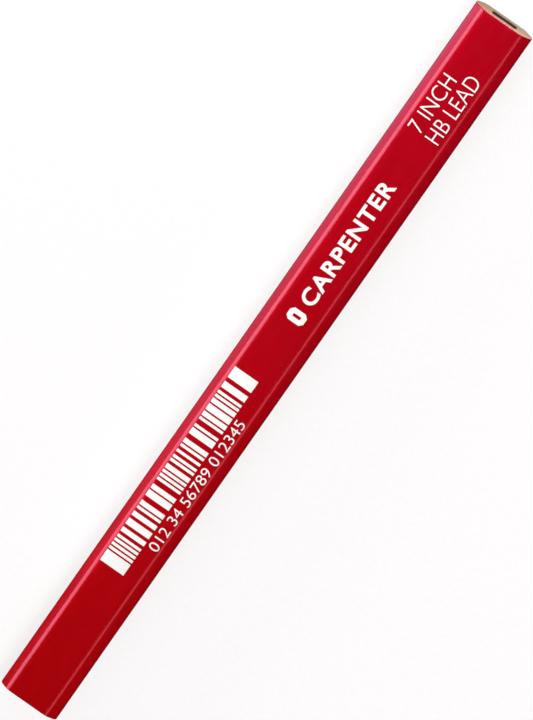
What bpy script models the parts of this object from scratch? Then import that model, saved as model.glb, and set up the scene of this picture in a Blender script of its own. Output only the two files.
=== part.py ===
"""Unsharpened carpenter pencil: two wooden slats glued round a wide flat graphite core, primed and lacquered.

The pencil lies on one broad face. +X runs along its length, +Y across it and +Z through its thickness,
with the origin under the middle of the pencil, on the face it rests on.

Every sub-part is a prism along X, so each one is described by its section in the YZ plane, measured from the
pencil's centre line. The section is a flattened octagon: two broad faces, two narrow side faces and four
slanting facets between them, with every corner rounded. The coats follow it at a constant thickness.
"""

import math

import bmesh
import bpy

# Outside of the lacquered pencil, in metres.
LENGTH = 0.178
WIDTH = 0.0140
THICKNESS = 0.0070
BROAD_FACE_SHARE = 0.70
SIDE_FACE_SHARE = 1 / 3
CORNER_RADIUS = 0.0024

# Graphite core.
CORE_WIDTH = 0.0059
CORE_THICKNESS = 0.0025
CORE_CORNER_RADIUS = 0.00045

# Films, and the clearance that keeps neighbouring sub-parts from sharing a surface.
LACQUER_FILM = 0.00012
PRIMER_FILM = 0.00006
GLUE_FILM = 0.00008
CLEARANCE = 0.00002

ARC_STEPS = 11

# How far the outside of each coat, of the wood and of the glue lies inside the pencil's outside.
LACQUER_INSET = 0.0
PRIMER_INSET = LACQUER_FILM + CLEARANCE
WOOD_INSET = PRIMER_INSET + PRIMER_FILM + CLEARANCE

# How far the glue and the wood stand off the core's surface.
GLUE_INNER_OFFSET = CLEARANCE
GLUE_OUTER_OFFSET = GLUE_INNER_OFFSET + GLUE_FILM
GROOVE_OFFSET = GLUE_OUTER_OFFSET + CLEARANCE

# Half the gap between the slats at the parting plane.
PARTING_HALF_GAP = GLUE_FILM / 2 + CLEARANCE


def clear_scene():
    for obj in list(bpy.data.objects):
        bpy.data.objects.remove(obj)


def material(name, colour, roughness, coat=0.0):
    """A Principled material from a linear RGB colour."""
    made = bpy.data.materials.new(name)
    made.use_nodes = True
    shader = made.node_tree.nodes["Principled BSDF"]
    shader.inputs["Base Color"].default_value = (*colour, 1.0)
    shader.inputs["Roughness"].default_value = roughness
    shader.inputs["Metallic"].default_value = 0.0
    shader.inputs["Coat Weight"].default_value = coat
    return made


def arc(centre, radius, start, end, steps=ARC_STEPS):
    """Points on a circular arc, from one angle to the other in radians."""
    turns = [start + (end - start) * step / steps for step in range(steps + 1)]
    return [(centre[0] + radius * math.cos(turn), centre[1] + radius * math.sin(turn)) for turn in turns]


def facet_tilt():
    """The angle between a slanting facet's outward normal and +Y."""
    rise = (1 - SIDE_FACE_SHARE) * THICKNESS
    run = (1 - BROAD_FACE_SHARE) * WIDTH
    return math.atan2(run, rise)


def section_quarter(inset):
    """The outline's quarter in +Y and +Z, from the side face up to the broad face, at a given depth.

    Both of its corners are arcs. An arc's centre doesn't move with the depth, so only its radius changes.
    """
    tilt = facet_tilt()
    side_y = WIDTH / 2 - CORNER_RADIUS
    broad_z = THICKNESS / 2 - CORNER_RADIUS
    lower_z = SIDE_FACE_SHARE * THICKNESS / 2 - CORNER_RADIUS * math.tan(tilt / 2)
    upper_y = BROAD_FACE_SHARE * WIDTH / 2 - CORNER_RADIUS * math.tan((math.pi / 2 - tilt) / 2)
    radius = CORNER_RADIUS - inset
    lower_corner = arc((side_y, lower_z), radius, 0.0, tilt)
    upper_corner = arc((upper_y, broad_z), radius, tilt, math.pi / 2)
    return lower_corner + upper_corner


def section_half(inset):
    """The outline's half above the centre line, from +Y round to -Y."""
    quarter = section_quarter(inset)
    return quarter + [(-y, z) for y, z in reversed(quarter)]


def section_whole(inset):
    half = section_half(inset)
    return half + [(-y, -z) for y, z in half]


def core_half(offset):
    """The upper half of the core's outline, from +Y round to -Y, grown outwards by an offset."""
    centre_y = CORE_WIDTH / 2 - CORE_CORNER_RADIUS
    centre_z = CORE_THICKNESS / 2 - CORE_CORNER_RADIUS
    quarter = arc((centre_y, centre_z), CORE_CORNER_RADIUS + offset, 0.0, math.pi / 2)
    return quarter + [(-y, z) for y, z in reversed(quarter)]


def core_whole(offset):
    half = core_half(offset)
    return half + [(-y, -z) for y, z in half]


def slat_outline():
    """The upper slat: the outside of the wood above the parting plane, and the half groove for the core."""
    side_y = WIDTH / 2 - WOOD_INSET
    groove_y = CORE_WIDTH / 2 + GROOVE_OFFSET
    half_gap = PARTING_HALF_GAP
    outside = [(side_y, half_gap), *section_half(WOOD_INSET), (-side_y, half_gap)]
    groove = [(-groove_y, half_gap), *reversed(core_half(GROOVE_OFFSET)), (groove_y, half_gap)]
    return outside + groove


def glue_outline():
    """The glue's outside: a flat wing to each side face, and a bulge that wraps the core."""
    half_film = GLUE_FILM / 2
    side_y = WIDTH / 2 - WOOD_INSET
    bulge_y = CORE_WIDTH / 2 + GLUE_OUTER_OFFSET
    upper = [
        (side_y, half_film),
        (bulge_y, half_film),
        *core_half(GLUE_OUTER_OFFSET),
        (-bulge_y, half_film),
        (-side_y, half_film),
    ]
    return upper + [(-y, -z) for y, z in upper]


def prism(name, outline, surface, hole=None, flipped=False):
    """A closed solid along the whole pencil with the given section, and with a hole through it if asked."""
    mesh = bpy.data.meshes.new(name)
    build = bmesh.new()
    turn = -1 if flipped else 1
    rim = []
    for loop in filter(None, (outline, hole)):
        corners = [build.verts.new((-LENGTH / 2, turn * y, turn * z)) for y, z in loop]
        rim += [build.edges.new((a, b)) for a, b in zip(corners, corners[1:] + corners[:1])]
    end = bmesh.ops.triangle_fill(build, edges=rim, use_beauty=True)
    end_faces = [item for item in end["geom"] if isinstance(item, bmesh.types.BMFace)]
    grown = bmesh.ops.extrude_face_region(build, geom=end_faces, use_keep_orig=True)
    far_corners = [item for item in grown["geom"] if isinstance(item, bmesh.types.BMVert)]
    bmesh.ops.translate(build, verts=far_corners, vec=(LENGTH, 0, 0))
    bmesh.ops.recalc_face_normals(build, faces=build.faces[:])
    build.to_mesh(mesh)
    build.free()
    mesh.shade_smooth()
    mesh.set_sharp_from_angle(angle=math.radians(30))
    mesh.materials.append(surface)
    made = bpy.data.objects.new(name, mesh)
    made.location.z = THICKNESS / 2
    bpy.context.scene.collection.objects.link(made)
    return made


def build_pencil():
    wood = material("basswood", (0.56, 0.40, 0.22), 0.75)
    graphite = material("graphite", (0.065, 0.050, 0.045), 0.45)
    glue = material("wood_glue", (0.62, 0.50, 0.28), 0.50)
    primer = material("primer", (0.70, 0.62, 0.52), 0.80)
    lacquer = material("red_lacquer", (0.40, 0.005, 0.010), 0.18, coat=1.0)

    prism("front_slat", slat_outline(), wood)
    prism("back_slat", slat_outline(), wood, flipped=True)
    prism("graphite_core", core_whole(0.0), graphite)
    prism("glue_film", glue_outline(), glue, hole=core_whole(GLUE_INNER_OFFSET))
    prism("primer_coat", section_whole(PRIMER_INSET), primer, hole=section_whole(PRIMER_INSET + PRIMER_FILM))
    prism("lacquer_coat", section_whole(LACQUER_INSET), lacquer, hole=section_whole(LACQUER_FILM))


clear_scene()
build_pencil()
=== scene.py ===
"""Looks of the carpenter pencil: red gloss lacquer with white print, and sawn ends of basswood and graphite.

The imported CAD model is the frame. The pencil lies along X on its plain face, with its printed face up at +Z.
Lengths are in metres unless a name ends in _MM.
"""

import math

import bmesh
import bpy
from mathutils import Matrix, Vector, noise


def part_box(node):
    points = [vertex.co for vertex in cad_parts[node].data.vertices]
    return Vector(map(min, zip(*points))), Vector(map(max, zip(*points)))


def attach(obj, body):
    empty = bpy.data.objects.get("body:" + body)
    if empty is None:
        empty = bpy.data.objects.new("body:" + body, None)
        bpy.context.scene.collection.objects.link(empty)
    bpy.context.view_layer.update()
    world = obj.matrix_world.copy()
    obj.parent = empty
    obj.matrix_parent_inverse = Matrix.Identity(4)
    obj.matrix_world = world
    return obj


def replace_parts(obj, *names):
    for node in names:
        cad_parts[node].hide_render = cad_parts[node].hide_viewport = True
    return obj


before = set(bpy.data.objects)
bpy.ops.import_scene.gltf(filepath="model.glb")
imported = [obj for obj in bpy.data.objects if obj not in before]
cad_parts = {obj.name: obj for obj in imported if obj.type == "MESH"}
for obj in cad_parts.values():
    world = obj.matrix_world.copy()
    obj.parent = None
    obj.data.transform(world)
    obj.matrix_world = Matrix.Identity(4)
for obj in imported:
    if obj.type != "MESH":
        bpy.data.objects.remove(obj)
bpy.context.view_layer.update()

MM = 0.001

# The pencil's section, as the CAD holds it: what the frame's boxes don't give is repeated here.
OUTSIDE_LOW, OUTSIDE_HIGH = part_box("lacquer_coat")
WOOD_LOW, WOOD_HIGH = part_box("front_slat")
CORE_LOW, CORE_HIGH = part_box("graphite_core")
LENGTH = OUTSIDE_HIGH.x - OUTSIDE_LOW.x
WIDTH = OUTSIDE_HIGH.y - OUTSIDE_LOW.y
THICKNESS = OUTSIDE_HIGH.z - OUTSIDE_LOW.z
CENTRE_Z = THICKNESS / 2
BROAD_FACE_SHARE = 0.70
SIDE_FACE_SHARE = 1 / 3
CORNER_RADIUS = 2.4 * MM
LACQUER_FILM = 0.12 * MM
WOOD_INSET = OUTSIDE_HIGH.y - WOOD_HIGH.y
CORE_CORNER_RADIUS = 0.45 * MM
GROOVE_GAP = 0.12 * MM

# The dipped coat's unevenness. The two broad faces stay flat, as the mounts lie on them.
SLOW_WAVE, FINE_WAVE = 0.012 * MM, 0.004 * MM
BROAD_FACE_NORMAL = 0.999

# How the sawn ends differ from a plain cut. LIP_PROFILE is the lacquer's broken edge: how far along the lip,
# and how much of the film has gone there.
LIP_LENGTH = 0.12 * MM
LIP_PROFILE = (
    (0.0, 0.0), (0.1, 0.02), (0.22, 0.09), (0.45, 0.29), (0.7, 0.52), (0.9, 0.74), (1.0, 0.88),
)
WOOD_RELIEF = 0.035 * MM
CORE_RELIEF = 0.020 * MM
SAW_ACROSS, SAW_SLANT = 0.94, 0.34
WOOD_SAW_SPACING, CORE_SAW_SPACING = 0.23 * MM, 0.31 * MM

# How far the saw dragged graphite out of the core, over the wood on its printed side.
SMEAR = 0.50 * MM

# Print.
INK_FILM = 0.02 * MM
INK_SUNK_SHARE = 0.4
INK_CUT_MM = 0.22

# The camera looks down on the printed face, tipped towards the end that shows.
CAMERA_TILT = math.radians(12.6)
CAMERA_ROLL = math.radians(55.03)
CAMERA_DISTANCE = 4.5
FRAME_HEIGHT_AT_TARGET = 150.6 * MM
SENSOR_MM = 36.0
TARGET_ALONG = 1.10 * MM
TARGET_ACROSS = 0.05 * MM

# The floor lies a hair under the pencil, so that the two don't share a surface.
FLOOR_REACH = 12.0
FLOOR_GAP = 0.02 * MM


# ---------------------------------------------------------------- section

def facet_tilt():
    """The angle between a slanting facet's outward normal and +Y."""
    rise = (1 - SIDE_FACE_SHARE) * THICKNESS
    run = (1 - BROAD_FACE_SHARE) * WIDTH
    return math.atan2(run, rise)


def corner_arcs():
    """Centre, first and last angle of the section's eight rounded corners, from the +Y side anticlockwise."""
    tilt = facet_tilt()
    side_y = WIDTH / 2 - CORNER_RADIUS
    broad_z = THICKNESS / 2 - CORNER_RADIUS
    lower_z = SIDE_FACE_SHARE * THICKNESS / 2 - CORNER_RADIUS * math.tan(tilt / 2)
    upper_y = BROAD_FACE_SHARE * WIDTH / 2 - CORNER_RADIUS * math.tan((math.pi / 2 - tilt) / 2)
    half_turn = math.pi
    right = [((side_y, lower_z), 0.0, tilt), ((upper_y, broad_z), tilt, half_turn / 2)]
    left = [((-y, z), half_turn - last, half_turn - first) for (y, z), first, last in reversed(right)]
    upper = right + left
    lower = [((-y, -z), half_turn + first, half_turn + last) for (y, z), first, last in upper]
    return upper + lower


def section_rim(arc_steps, spacing):
    """(y, z, normal y, normal z) round the lacquer's outside, about the pencil's centre line."""
    arcs = corner_arcs()
    rim = []
    for (centre, first, last), (next_centre, next_first, _) in zip(arcs, arcs[1:] + arcs[:1]):
        for step in range(arc_steps + 1):
            turn = first + (last - first) * step / arc_steps
            normal = (math.cos(turn), math.sin(turn))
            point = (centre[0] + CORNER_RADIUS * normal[0], centre[1] + CORNER_RADIUS * normal[1])
            rim.append((*point, *normal))
        start = Vector(rim[-1][:2])
        end = Vector(next_centre) + CORNER_RADIUS * Vector((math.cos(next_first), math.sin(next_first)))
        pieces = max(1, round((end - start).length / spacing))
        for step in range(1, pieces):
            point = start.lerp(end, step / pieces)
            rim.append((point.x, point.y, *normal))
    return rim


def printed_height(y):
    """Height of the lacquer's surface on the printed side, on the broad face and over its rounded edges."""
    (edge_y, _), _, _ = corner_arcs()[1]
    past = max(0.0, abs(y) - edge_y)
    roll = CORNER_RADIUS - math.sqrt(CORNER_RADIUS**2 - past**2)
    return THICKNESS - roll


def resampled(points, count):
    """The same open line with its points evenly spaced."""
    points = [Vector(point) for point in points]
    reach = [0.0]
    for a, b in zip(points, points[1:]):
        reach.append(reach[-1] + (b - a).length)
    made = []
    place = 0
    for step in range(count):
        wanted = reach[-1] * step / (count - 1)
        while place < len(points) - 2 and reach[place + 1] < wanted:
            place += 1
        share = (wanted - reach[place]) / (reach[place + 1] - reach[place])
        made.append(points[place].lerp(points[place + 1], min(1.0, share)))
    return made


# ---------------------------------------------------------------- meshes

def piece_from_mesh(name, build, surface, smooth_degrees=35):
    """A piece that rides on the pencil, from a finished bmesh."""
    bmesh.ops.recalc_face_normals(build, faces=build.faces[:])
    mesh = bpy.data.meshes.new(name)
    build.to_mesh(mesh)
    build.free()
    mesh.shade_smooth()
    mesh.set_sharp_from_angle(angle=math.radians(smooth_degrees))
    mesh.materials.append(surface)
    piece = bpy.data.objects.new(name, mesh)
    bpy.context.scene.collection.objects.link(piece)
    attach(piece, "root")
    return piece


def surface_wave(x, y, z):
    """How far the lacquer stands below a perfect section, as a dipped coat on shaped wood is uneven."""
    slow = noise.noise(Vector((x * 45, y * 260, z * 260)))
    fine = noise.noise(Vector((x * 160 + 7, y * 700, z * 700)))
    return SLOW_WAVE * slow + FINE_WAVE * fine


def lacquer_sleeve(surface):
    """A thin sleeve, open at both ends, whose rims roll inwards where the saw broke the film's edge."""
    rim = section_rim(arc_steps=10, spacing=0.9 * MM)
    half = LENGTH / 2
    body_steps = 150
    reach = half - LIP_LENGTH
    lip = [(reach + share * LIP_LENGTH, fall * LACQUER_FILM) for share, fall in LIP_PROFILE]
    body = [(-reach + 2 * reach * step / body_steps, 0.0) for step in range(1, body_steps)]
    outer = [(-x, depth) for x, depth in reversed(lip)] + body + lip
    inner = [(half, LACQUER_FILM), (-half, LACQUER_FILM)]
    build = bmesh.new()
    rings = []
    for x, depth in outer + inner:
        ring = []
        for y, z, normal_y, normal_z in rim:
            flat = abs(normal_z) > BROAD_FACE_NORMAL
            wave = 0.0 if flat or depth else surface_wave(x, y, z)
            inset = depth + max(0.0, wave)
            ring.append(build.verts.new((x, y - inset * normal_y, CENTRE_Z + z - inset * normal_z)))
        rings.append(ring)
    for ring, after in zip(rings, rings[1:] + rings[:1]):
        for i in range(len(ring)):
            j = (i + 1) % len(ring)
            build.faces.new((ring[i], ring[j], after[j], after[i]))
    return piece_from_mesh("lacquer_sleeve", build, surface)


def solid_bar(name, grid, relief, surface):
    """A bar along X from a grid of (y, z) points, with finely divided ends that are cut back by a relief."""
    half = LENGTH / 2
    rows, columns = len(grid), len(grid[0])
    build = bmesh.new()
    ends = []
    for side in (-1, 1):
        end = [
            [build.verts.new((side * (half - relief(side, y, z)), y, CENTRE_Z + z)) for y, z in row]
            for row in grid
        ]
        for i in range(rows - 1):
            for j in range(columns - 1):
                build.faces.new((end[i][j], end[i][j + 1], end[i + 1][j + 1], end[i + 1][j]))
        ends.append(end)
    edge = [(0, j) for j in range(columns)]
    edge += [(i, columns - 1) for i in range(1, rows)]
    edge += [(rows - 1, j) for j in range(columns - 2, -1, -1)]
    edge += [(i, 0) for i in range(rows - 2, 0, -1)]
    for (i, j), (k, m) in zip(edge, edge[1:] + edge[:1]):
        build.faces.new((ends[0][i][j], ends[0][k][m], ends[1][k][m], ends[1][i][j]))
    return piece_from_mesh(name, build, surface)


def slat_grid(flip, across=18, around=170):
    """The slat's section as ribs from the groove out to the wood's outside; flip gives the lower slat."""
    parting = WOOD_LOW.z - CENTRE_Z
    side_y = WIDTH / 2 - WOOD_INSET
    rim = section_rim(arc_steps=8, spacing=0.3 * MM)
    outside = [(y - WOOD_INSET * ny, z - WOOD_INSET * nz) for y, z, ny, nz in rim]
    upper = [point for point in outside if point[1] > parting + 0.01 * MM]
    upper.sort(key=lambda point: math.atan2(point[1], point[0]))
    outside_line = resampled([(side_y, parting), *upper, (-side_y, parting)], around)
    half_y = CORE_HIGH.y + GROOVE_GAP
    half_z = (CORE_HIGH.z - CORE_LOW.z) / 2 + GROOVE_GAP
    corner = CORE_CORNER_RADIUS + GROOVE_GAP
    turn_steps = 8
    bend = []
    for step in range(turn_steps + 1):
        turn = math.pi / 2 * step / turn_steps
        point = (half_y - corner + corner * math.cos(turn), half_z - corner + corner * math.sin(turn))
        bend.append(point)
    bend_back = [(-y, z) for y, z in reversed(bend)]
    groove_line = resampled([(half_y, parting), *bend, *bend_back, (-half_y, parting)], around)
    turned = -1 if flip else 1
    grid = []
    for outer, inner in zip(outside_line, groove_line):
        rib = [inner.lerp(outer, step / across) for step in range(across + 1)]
        grid.append([(turned * point.x, turned * point.y) for point in rib])
    return grid


def core_grid(across=80, through=30):
    half_y = CORE_HIGH.y
    half_z = (CORE_HIGH.z - CORE_LOW.z) / 2
    grid = []
    for i in range(across + 1):
        turn = math.pi * i / across
        y = -half_y * math.cos(turn)
        into_corner = max(0.0, abs(y) - (half_y - CORE_CORNER_RADIUS))
        drop = CORE_CORNER_RADIUS - math.sqrt(max(0.0, CORE_CORNER_RADIUS**2 - into_corner**2))
        reach = half_z - drop
        grid.append([(y, reach * (2 * j / through - 1)) for j in range(through + 1)])
    return grid


def saw_marks(y, z, spacing, waver=0.0):
    """Fine parallel marks of the saw, from 0 to 1, slanting a little across the end."""
    across_marks = SAW_ACROSS * z + SAW_SLANT * y
    return 0.5 + 0.5 * math.sin(2 * math.pi * across_marks / spacing + waver)


def wood_relief(side, y, z):
    """End grain after the saw: soft early wood sinks between the rings, with fine saw marks across."""
    place = Vector((side * 31.0, y / MM * 0.55, z / MM * 0.55))
    ring = 0.5 + 0.5 * math.sin(9.0 * noise.noise(place * 0.35) + 2.6 * z / MM + 0.5 * y / MM)
    marks = saw_marks(y, z, WOOD_SAW_SPACING, 3 * noise.noise(place))
    rough = 0.5 + 0.5 * noise.noise(Vector((side * 3.0, y / MM * 5, z / MM * 5)))
    return WOOD_RELIEF * (0.45 * ring + 0.2 * marks + 0.35 * rough)


def core_relief(side, y, z):
    rough = 0.5 + 0.5 * noise.noise(Vector((side * 5.0, y / MM * 6, z / MM * 6)))
    marks = saw_marks(y, z, CORE_SAW_SPACING)
    return CORE_RELIEF * (0.6 * rough + 0.4 * marks)


# ---------------------------------------------------------------- materials

# Where a Mix node keeps its sockets when it mixes colours.
MIX_SHARE, MIX_FIRST, MIX_SECOND, MIX_RESULT = 0, 6, 7, 2


def set_stops(ramp, stops):
    """Gives a colour ramp its stops, each a place and either a grey value or a colour."""
    elements = ramp.color_ramp.elements
    while len(elements) < len(stops):
        elements.new(0.5)
    for element, (place, colour) in zip(elements, stops):
        element.position = place
        element.color = (*colour, 1.0) if isinstance(colour, tuple) else (colour, colour, colour, 1.0)


class Nodes:
    """A short way to lay out a material's node tree."""

    def __init__(self, name):
        self.material = bpy.data.materials.new(name)
        self.material.use_nodes = True
        self.tree = self.material.node_tree
        self.shader = self.tree.nodes["Principled BSDF"]
        self.where = self.add("ShaderNodeTexCoord").outputs["Object"]

    def add(self, kind, inputs=None, **settings):
        node = self.tree.nodes.new(kind)
        for key, value in settings.items():
            setattr(node, key, value)
        for key, value in (inputs or {}).items():
            self.put(node.inputs[key], value)
        return node

    def put(self, socket, value):
        if isinstance(value, bpy.types.NodeSocket):
            self.tree.links.new(value, socket)
        else:
            socket.default_value = value

    def set(self, **values):
        for key, value in values.items():
            self.put(self.shader.inputs[key.replace("_", " ")], value)

    def stretched(self, scale):
        return self.add("ShaderNodeMapping", {"Vector": self.where, "Scale": scale}).outputs[0]

    def noise(self, scale, detail=3.0, size=1.0, roughness=0.5):
        inputs = {"Vector": self.stretched(scale), "Scale": size, "Detail": detail}
        return self.add("ShaderNodeTexNoise", {**inputs, "Roughness": roughness}).outputs["Fac"]

    def ramp(self, value, stops):
        """stops are (place, value) or (place, colour)."""
        node = self.add("ShaderNodeValToRGB", {"Fac": value})
        set_stops(node, stops)
        return node.outputs["Color"]

    def mix(self, share, first, second, blend_type="MIX"):
        node = self.add("ShaderNodeMix", data_type="RGBA", blend_type=blend_type)
        self.put(node.inputs[MIX_SHARE], share)
        self.put(node.inputs[MIX_FIRST], first)
        self.put(node.inputs[MIX_SECOND], second)
        return node.outputs[MIX_RESULT]

    def times(self, first, second):
        return self.mix(1.0, first, second, blend_type="MULTIPLY")

    def span(self, axis, low, high):
        """How far along one of the pencil's axes a point lies, from 0 to 1."""
        place = self.add("ShaderNodeSeparateXYZ", {0: self.where}).outputs[axis]
        inputs = {"Value": place, "From Min": low, "From Max": high}
        return self.add("ShaderNodeMapRange", inputs).outputs[0]

    def maths(self, operation, first, second=0.0):
        node = self.add("ShaderNodeMath", operation=operation)
        self.put(node.inputs[0], first)
        self.put(node.inputs[1], second)
        return node.outputs[0]

    def bump(self, height, strength, distance):
        inputs = {"Height": height, "Strength": strength, "Distance": distance}
        self.put(self.shader.inputs["Normal"], self.add("ShaderNodeBump", inputs).outputs[0])


def lacquer_material():
    """Saturated red gloss over wood: faint grain shows through as streaks, with slight orange peel, and a
    painted bluish sheen towards the +X end.
    """
    n = Nodes("red_lacquer")
    mottle = n.noise((120, 500, 500), detail=4)
    streaks = n.noise((60, 2600, 2600), detail=3)
    shade = n.mix(0.35, mottle, streaks)
    red = n.ramp(shade, [(0.30, (0.300, 0.0002, 0.0044)), (0.70, (0.345, 0.0004, 0.0060))])
    length_share = n.span("X", -LENGTH / 2, LENGTH / 2)
    # Painted sheen: the red is made bluer towards the +X end and less blue towards the -X end, in place of a
    # bluish gloss.
    painted_sheen_along = n.ramp(length_share, [(0.0, (1.0, 1.0, 0.35)), (1.0, (1.0, 1.0, 1.35))])
    n.set(Base_Color=n.times(red, painted_sheen_along), IOR=1.42)
    n.set(Roughness=n.ramp(n.noise((300, 900, 900), detail=5), [(0.30, 0.13), (0.75, 0.20)]))
    peel = n.noise((1500, 1500, 1500), detail=1)
    relief = n.mix(0.55, peel, streaks)
    n.bump(relief, 0.05, 0.2 * MM)
    return n.material


def wood_tint_across(n):
    """The end grain is paler towards one side of the pencil."""
    stops = [(0.1, (0.98, 0.93, 0.90)), (0.9, (0.76, 0.66, 0.56))]
    return n.ramp(n.span("Y", -WIDTH / 2, WIDTH / 2), stops)


def wood_painted_light_through(n):
    """The end grain is darker and greyer towards the plain face, as painted shade, and paler and pinker
    towards the printed face, as a painted highlight along the cut edge.
    """
    stops = [
        (0.10, (0.62, 0.79, 0.98)), (0.45, (0.82, 0.90, 0.94)),
        (0.72, (1.08, 0.93, 0.95)), (0.93, (1.27, 1.10, 1.45)),
    ]
    return n.ramp(n.span("Z", 0.0, THICKNESS), stops)


def graphite_smear(n):
    """How much of the wood's colour the smeared graphite takes, from 0 to 1."""
    through = n.span("Z", CORE_LOW.z, CORE_HIGH.z + SMEAR)
    across = n.span("Y", CORE_LOW.y - SMEAR / 3, CORE_HIGH.y + SMEAR / 3)
    share_through = n.ramp(through, [(0.3, 0.0), (0.4, 0.9), (0.94, 0.85), (1.0, 0.0)])
    share_across = n.ramp(across, [(0.0, 0.0), (0.04, 1.0), (0.96, 1.0), (1.0, 0.0)])
    return n.maths("MULTIPLY", share_through, share_across)


def wood_material():
    """Basswood end grain: pale pinkish cream, with curved growth rings, fibres and fine pores, and painted
    shade and highlight through its thickness.
    """
    n = Nodes("basswood_end_grain")
    bands = {"Vector": n.stretched((1, 300, 900)), "Scale": 0.55}
    bands.update({"Distortion": 3.2, "Detail": 2.0, "Detail Scale": 0.6})
    rings = n.add("ShaderNodeTexWave", bands, bands_direction="Z").outputs["Fac"]
    fibre = n.noise((400, 5200, 5200), detail=5, roughness=0.65)
    cells = {"Vector": n.stretched((300, 9000, 9000)), "Scale": 1.0}
    pores = n.add("ShaderNodeTexVoronoi", cells).outputs["Distance"]
    solid = n.ramp(pores, [(0.10, 0.0), (0.32, 1.0)])
    early, middle, late = (0.68, 0.48, 0.33), (0.80, 0.58, 0.41), (0.55, 0.36, 0.23)
    ringed = n.ramp(rings, [(0.05, early), (0.75, middle), (0.97, late)])
    shaded = n.mix(n.ramp(fibre, [(0.35, 0.35), (0.70, 0.0)]), ringed, (0.43, 0.28, 0.18, 1.0))
    open_share = n.maths("MULTIPLY", n.maths("SUBTRACT", 1.0, solid), 0.6)
    pored = n.mix(open_share, shaded, (0.28, 0.17, 0.11, 1.0))
    # Over the wood's own colour go the tint across and the painted shade and highlight through the thickness.
    tinted = n.times(n.times(pored, wood_tint_across(n)), wood_painted_light_through(n))
    n.set(Base_Color=n.mix(graphite_smear(n), tinted, (0.045, 0.026, 0.017, 1.0)), IOR=1.45)
    n.set(Roughness=n.ramp(fibre, [(0.3, 0.62), (0.7, 0.82)]))
    n.bump(n.mix(0.5, fibre, solid), 0.35, 0.05 * MM)
    return n.material


def graphite_material():
    """Fired graphite and clay, sawn through: dull brownish black, with cut scratches and one paler edge."""
    n = Nodes("graphite")
    grain = n.noise((9000, 9000, 9000), detail=4)
    scratches = n.noise((1, 700, 12000), detail=3)
    blend = n.mix(0.5, grain, scratches)
    dark = n.ramp(blend, [(0.3, (0.026, 0.011, 0.006)), (0.7, (0.053, 0.025, 0.014))])
    edge = n.ramp(n.span("Z", CORE_LOW.z, CORE_HIGH.z), [(0.0, 0.75), (0.12, 0.45), (0.25, 0.0)])
    n.set(Base_Color=n.mix(edge, dark, (0.18, 0.11, 0.08, 1.0)))
    n.set(Roughness=n.ramp(blend, [(0.3, 0.50), (0.7, 0.70)]), Specular_IOR_Level=0.15)
    n.bump(blend, 0.3, 0.03 * MM)
    return n.material


def glue_material():
    n = Nodes("wood_glue")
    cloud = n.noise((800, 3000, 3000), detail=3)
    amber = n.ramp(cloud, [(0.3, (0.15, 0.10, 0.06)), (0.7, (0.24, 0.16, 0.10))])
    n.set(Base_Color=amber, Roughness=0.45, IOR=1.48)
    n.bump(cloud, 0.2, 0.02 * MM)
    return n.material


def primer_material():
    n = Nodes("primer")
    chalk = n.noise((2500, 6000, 6000), detail=4)
    pale = n.ramp(chalk, [(0.3, (0.66, 0.46, 0.39)), (0.7, (0.80, 0.60, 0.52))])
    n.set(Base_Color=pale, Roughness=0.8)
    n.bump(chalk, 0.25, 0.02 * MM)
    return n.material


def ink_material():
    """Opaque white print, a little uneven, with its surface flatter than the lacquer's."""
    n = Nodes("white_ink")
    cover = n.noise((1200, 1600, 1600), detail=5, roughness=0.6)
    n.set(Base_Color=n.ramp(cover, [(0.25, (0.66, 0.61, 0.59)), (0.50, (0.74, 0.73, 0.72))]), IOR=1.45)
    n.set(Roughness=n.ramp(cover, [(0.3, 0.30), (0.7, 0.42)]))
    n.bump(cover, 0.08, 0.02 * MM)
    return n.material


def floor_material():
    n = Nodes("paper_floor")
    tooth = n.noise((900, 900, 900), detail=4)
    n.set(Base_Color=n.ramp(tooth, [(0.3, 0.17), (0.7, 0.19)]), Roughness=0.9)
    n.set(Emission_Color=(1.0, 1.0, 1.0, 1.0), Emission_Strength=0.74)
    n.bump(tooth, 0.05, 0.1 * MM)
    return n.material


# ---------------------------------------------------------------- print

def ink_boxes(name, panels, surface):
    """Flat ink panels, each (low x, low y, high x, high y) in millimetres on the printed face."""
    build = bmesh.new()
    for low_x, low_y, high_x, high_y in panels:
        middle = Vector(((low_x + high_x) / 2, (low_y + high_y) / 2, 0.5))
        size = Vector((high_x - low_x, high_y - low_y, 1.0))
        bmesh.ops.create_cube(build, size=1.0, matrix=Matrix.LocRotScale(middle, None, size))
    return ink_piece(name, build, surface)


def ink_piece(name, build, surface):
    """Lays a flat mark in millimetres, one unit thick, on the printed face as a film that follows it."""
    low_y = min(vert.co.y for vert in build.verts)
    high_y = max(vert.co.y for vert in build.verts)
    cuts = max(2, round((high_y - low_y) / INK_CUT_MM))
    for step in range(1, cuts):
        everything = build.verts[:] + build.edges[:] + build.faces[:]
        cut_y = low_y + (high_y - low_y) * step / cuts
        bmesh.ops.bisect_plane(build, geom=everything, plane_co=(0, cut_y, 0), plane_no=(0, 1, 0))
    for vert in build.verts:
        x, y = vert.co.x * MM, vert.co.y * MM
        vert.co = (x, y, printed_height(y) + (vert.co.z - INK_SUNK_SHARE) * INK_FILM)
    return piece_from_mesh(name, build, surface)


def bar_block(surface):
    """A block of bars of mixed widths between two plain panels. It encodes nothing."""
    low_y, high_y = -1.26, 4.68
    start, end, panel = -54.5, -3.8, 2.8
    bar_widths = (0.62, 0.62, 1.08, 0.62, 1.52, 0.62, 1.08)
    gap_widths = (0.40, 0.40, 0.78, 0.40, 1.22, 0.78, 0.40)
    panels = [(start, low_y, start + panel, high_y), (end - panel, low_y, end, high_y)]
    x = start + panel + gap_widths[0]
    last = end - panel - gap_widths[0]
    step = 0
    while x < last - bar_widths[0]:
        stop = min(x + bar_widths[(5 * step + step // 7) % len(bar_widths)], last)
        panels.append((x, low_y, stop, high_y))
        x = stop + gap_widths[(3 * step + step // 5) % len(gap_widths)]
        step += 1
    return ink_boxes("print_bars", panels, surface)


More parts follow.
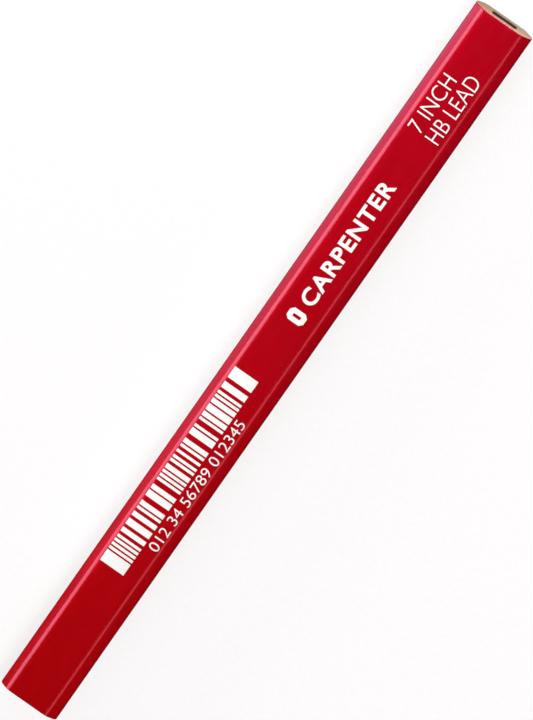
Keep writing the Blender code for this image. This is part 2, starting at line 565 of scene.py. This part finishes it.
def raised_flat(build):
    """Gives a flat mark its thickness of one unit."""
    grown = bmesh.ops.extrude_face_region(build, geom=build.faces[:], use_keep_orig=True)
    raised = [item for item in grown["geom"] if isinstance(item, bmesh.types.BMVert)]
    bmesh.ops.translate(build, verts=raised, vec=(0, 0, 1))


def section_sign(surface):
    """A pictogram of the pencil's end, stood on its side: a flattened octagon with a slot for the core."""
    middle_x, middle_y = 12.45, 0.05
    build = bmesh.new()
    loops = []
    for half_x, half_y, cut in ((1.45, 2.1, 0.75), (0.36, 0.95, 0.12)):
        quarter = [(half_x, half_y - cut), (half_x - cut, half_y)]
        half = quarter + [(-x, y) for x, y in reversed(quarter)]
        whole = half + [(-x, -y) for x, y in half]
        loops.append([build.verts.new((middle_x + x, middle_y + y, 0)) for x, y in whole])
    outer, inner = loops
    for i in range(len(outer)):
        j = (i + 1) % len(outer)
        build.faces.new((outer[i], outer[j], inner[j], inner[i]))
    raised_flat(build)
    return ink_piece("print_sign", build, surface)


def ink_text(name, words, surface, left, baseline, cap_height, width, weight=0.0, spacing=1.0):
    """Generic words or figures set on the printed face, in millimetres, stretched to a given width."""
    curve = bpy.data.curves.new(name, "FONT")
    curve.body = words
    curve.size = 1.0
    curve.offset = weight
    curve.space_character = spacing
    curve.resolution_u = 6
    text = bpy.data.objects.new(name + "_outline", curve)
    bpy.context.scene.collection.objects.link(text)
    bpy.context.view_layer.update()
    mesh = bpy.data.meshes.new_from_object(text.evaluated_get(bpy.context.evaluated_depsgraph_get()))
    bpy.data.objects.remove(text)
    build = bmesh.new()
    build.from_mesh(mesh)
    bmesh.ops.remove_doubles(build, verts=build.verts[:], dist=1e-5)
    raised_flat(build)
    low_x = min(vert.co.x for vert in build.verts)
    high_x = max(vert.co.x for vert in build.verts)
    low_y = min(vert.co.y for vert in build.verts)
    high_y = max(vert.co.y for vert in build.verts)
    for vert in build.verts:
        x = left + (vert.co.x - low_x) / (high_x - low_x) * width
        y = baseline + (vert.co.y - low_y) / (high_y - low_y) * cap_height
        vert.co = (x, y, vert.co.z)
    return ink_piece(name, build, surface)


# ---------------------------------------------------------------- stage

def camera():
    tilt, roll = CAMERA_TILT, CAMERA_ROLL
    back = Vector((math.sin(tilt), 0, math.cos(tilt)))
    along = Vector((math.cos(tilt), 0, -math.sin(tilt)))
    across = Vector((0, 1, 0))
    right = math.cos(roll) * along - math.sin(roll) * across
    up = math.sin(roll) * along + math.cos(roll) * across
    target = Vector((0, 0, THICKNESS)) + TARGET_ALONG * along + TARGET_ACROSS * across
    data = bpy.data.cameras.new("camera")
    data.sensor_width = SENSOR_MM
    data.lens = SENSOR_MM * CAMERA_DISTANCE / FRAME_HEIGHT_AT_TARGET
    data.clip_start = 0.05
    data.clip_end = 100
    made = bpy.data.objects.new("camera", data)
    turned = Matrix((right, up, back)).transposed().to_4x4()
    made.matrix_world = Matrix.Translation(target + CAMERA_DISTANCE * back) @ turned
    bpy.context.scene.collection.objects.link(made)
    bpy.context.scene.camera = made


def plane(name, corners, surface):
    mesh = bpy.data.meshes.new(name)
    mesh.from_pydata(corners, [], [tuple(range(len(corners)))])
    mesh.materials.append(surface)
    made = bpy.data.objects.new(name, mesh)
    bpy.context.scene.collection.objects.link(made)
    return made


def glow_material(name, light_from, light_to, reach):
    """Light that changes evenly along X, from one at -reach to another at +reach."""
    material = bpy.data.materials.new(name)
    material.use_nodes = True
    tree = material.node_tree
    tree.nodes.clear()
    where = tree.nodes.new("ShaderNodeTexCoord")
    split = tree.nodes.new("ShaderNodeSeparateXYZ")
    span = tree.nodes.new("ShaderNodeMapRange")
    blend = tree.nodes.new("ShaderNodeMix")
    glow = tree.nodes.new("ShaderNodeEmission")
    out = tree.nodes.new("ShaderNodeOutputMaterial")
    blend.data_type = "RGBA"
    span.inputs["From Min"].default_value = -reach
    span.inputs["From Max"].default_value = reach
    blend.inputs[MIX_FIRST].default_value = (*light_from, 1.0)
    blend.inputs[MIX_SECOND].default_value = (*light_to, 1.0)
    tree.links.new(where.outputs["Object"], split.inputs[0])
    tree.links.new(split.outputs["X"], span.inputs["Value"])
    tree.links.new(span.outputs[0], blend.inputs[MIX_SHARE])
    tree.links.new(blend.outputs[MIX_RESULT], glow.inputs["Color"])
    tree.links.new(glow.outputs[0], out.inputs["Surface"])
    return material


def reflection_card(name, middle, along, up, light_from, light_to=None, reach=1.0):
    """A card that only shows in gloss. Its half sides are the vectors along and up from its middle."""
    middle, along, up = Vector(middle), Vector(along), Vector(up)
    corners = [middle - along - up, middle + along - up, middle + along + up, middle - along + up]
    card = plane(name, corners, glow_material(name, light_from, light_to or light_from, reach))
    card.visible_camera = False
    card.visible_diffuse = False
    card.visible_shadow = False


def fill(name, toward, strength, spread_degrees):
    """Soft light from a direction, for colour only: it isn't mirrored in the gloss."""
    data = bpy.data.lights.new(name, "SUN")
    data.energy = strength
    data.angle = math.radians(spread_degrees)
    lamp = bpy.data.objects.new(name, data)
    lamp.rotation_euler = Vector(toward).to_track_quat("Z", "Y").to_euler()
    lamp.visible_glossy = False
    lamp.visible_camera = False
    bpy.context.scene.collection.objects.link(lamp)


def near_lamp(name, middle, aim, length, width, energy):
    """A flat lamp close to the pencil, for colour only, so its light fades across the pencil or along it."""
    data = bpy.data.lights.new(name, "AREA")
    data.shape = "RECTANGLE"
    data.size = length
    data.size_y = width
    data.energy = energy
    lamp = bpy.data.objects.new(name, data)
    lamp.location = middle
    lamp.rotation_euler = (Vector(middle) - Vector(aim)).to_track_quat("Z", "Y").to_euler()
    lamp.visible_camera = False
    lamp.visible_glossy = False
    bpy.context.scene.collection.objects.link(lamp)


def side_fill(name, side, degrees, strength, spread_degrees):
    """A fill square to the pencil, at a height over the floor, from +Y or -Y."""
    height = math.radians(degrees)
    fill(name, (0, side * math.cos(height), math.sin(height)), strength, spread_degrees)


def lights():
    """Soft light from both sides and both ends, two near lamps, and the cards that the gloss mirrors."""
    side_fill("fill_left", side=1, degrees=8, strength=3.6, spread_degrees=15)
    side_fill("fill_right", side=-1, degrees=62, strength=1.95, spread_degrees=30)
    side_fill("fill_right_low", side=-1, degrees=16, strength=0.6, spread_degrees=20)
    fill("fill_near_end", toward=(1, 0, 0.05), strength=1.75, spread_degrees=20)
    fill("fill_far_end", toward=(-1, 0, 0.05), strength=2.4, spread_degrees=20)
    near_lamp(
        "strip_left", middle=(0.030, 0.015, THICKNESS + 0.010), aim=(0.030, 0.002, THICKNESS),
        length=0.19, width=0.004, energy=0.0059,
    )
    near_lamp(
        "end_key", middle=(0.28, 0.12, 0.16), aim=(0.08, 0, 0),
        length=0.14, width=0.14, energy=0.45,
    )
    reflection_card(
        "card_left", middle=(-0.15, 0.60, 0.29), along=(0.29, 0, 0), up=(0, 0, 0.25),
        light_from=(8.6, 3.3, 4.9), light_to=(6.4, 6.4, 9.2), reach=0.25,
    )
    reflection_card(
        "card_far", middle=(0.80, 0.60, 0.22), along=(0.60, 0, 0), up=(0, 0, 0.035),
        light_from=(5.0, 4.25, 4.25),
    )
    reflection_card(
        "card_low", middle=(-0.15, 0.60, -0.30), along=(0.29, 0, 0), up=(0, 0, 0.30),
        light_from=(0.005, 0.05, 0.10), light_to=(0.29, 3.1, 5.5), reach=0.22,
    )
    reflection_card(
        "card_right", middle=(0, -0.55, 0.60), along=(1.3, 0, 0), up=(0, 0.10, 0.09),
        light_from=(5.6, 1.12, 1.29),
    )
    reflection_card(
        "card_end", middle=(0.60, 0, 0.40), along=(0, 0.19, 0), up=(0.38, 0, -0.40),
        light_from=(10.0, 9.0, 9.0),
    )


def sky():
    """A dome of soft light with a pale band just under the horizon. The gloss doesn't mirror it."""
    world = bpy.data.worlds.new("studio")
    world.use_nodes = True
    bpy.context.scene.world = world
    tree = world.node_tree
    where = tree.nodes.new("ShaderNodeTexCoord")
    split = tree.nodes.new("ShaderNodeSeparateXYZ")
    ramp = tree.nodes.new("ShaderNodeValToRGB")
    span = tree.nodes.new("ShaderNodeMapRange")
    tree.links.new(where.outputs["Generated"], split.inputs[0])
    tree.links.new(split.outputs["Z"], span.inputs["Value"])
    span.inputs["From Min"].default_value = -1.0
    span.inputs["From Max"].default_value = 1.0
    tree.links.new(span.outputs[0], ramp.inputs["Fac"])
    stops = [(0.0, 0.05), (0.455, 0.05), (0.460, 0.94), (0.500, 0.94), (0.505, 0.20), (1.0, 0.20)]
    set_stops(ramp, stops)
    tree.links.new(ramp.outputs["Color"], tree.nodes["Background"].inputs["Color"])
    world.cycles_visibility.glossy = False


def floor(surface):
    """A pale light table: it glows faintly, so the pencil's shadow on it stays soft and thin."""
    reach, low = FLOOR_REACH, -FLOOR_GAP
    corners = [(-reach, -reach, low), (reach, -reach, low), (reach, reach, low), (-reach, reach, low)]
    made = plane("floor", corners, surface)
    made.visible_glossy = False
    made.visible_diffuse = False


# ---------------------------------------------------------------- assembly

def dress_pencil():
    wood = wood_material()
    graphite = graphite_material()
    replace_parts(lacquer_sleeve(lacquer_material()), "lacquer_coat")
    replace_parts(solid_bar("front_slat_end_grain", slat_grid(False), wood_relief, wood), "front_slat")
    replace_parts(solid_bar("back_slat_end_grain", slat_grid(True), wood_relief, wood), "back_slat")
    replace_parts(solid_bar("core_strip", core_grid(), core_relief, graphite), "graphite_core")
    for node, surface in (("glue_film", glue_material()), ("primer_coat", primer_material())):
        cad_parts[node].data.materials.clear()
        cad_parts[node].data.materials.append(surface)


def print_marks():
    ink = ink_material()
    bar_block(ink)
    ink_text(
        "print_figures", "012 34 56789 012345", ink,
        left=-46.4, baseline=-4.34, cap_height=2.39, width=33.5, weight=-0.004,
    )
    section_sign(ink)
    ink_text(
        "print_word", "CARPENTER", ink,
        left=15.75, baseline=-1.73, cap_height=3.66, width=31.55, weight=0.026, spacing=1.12,
    )
    ink_text(
        "print_length", "7 INCH", ink,
        left=59.5, baseline=0.71, cap_height=3.41, width=13.7, weight=-0.012,
    )
    ink_text(
        "print_grade", "HB LEAD", ink,
        left=59.6, baseline=-3.66, cap_height=3.41, width=16.3, weight=-0.012,
    )


bpy.context.scene.view_settings.view_transform = "Standard"
camera()
sky()
lights()
floor(floor_material())
dress_pencil()
print_marks()
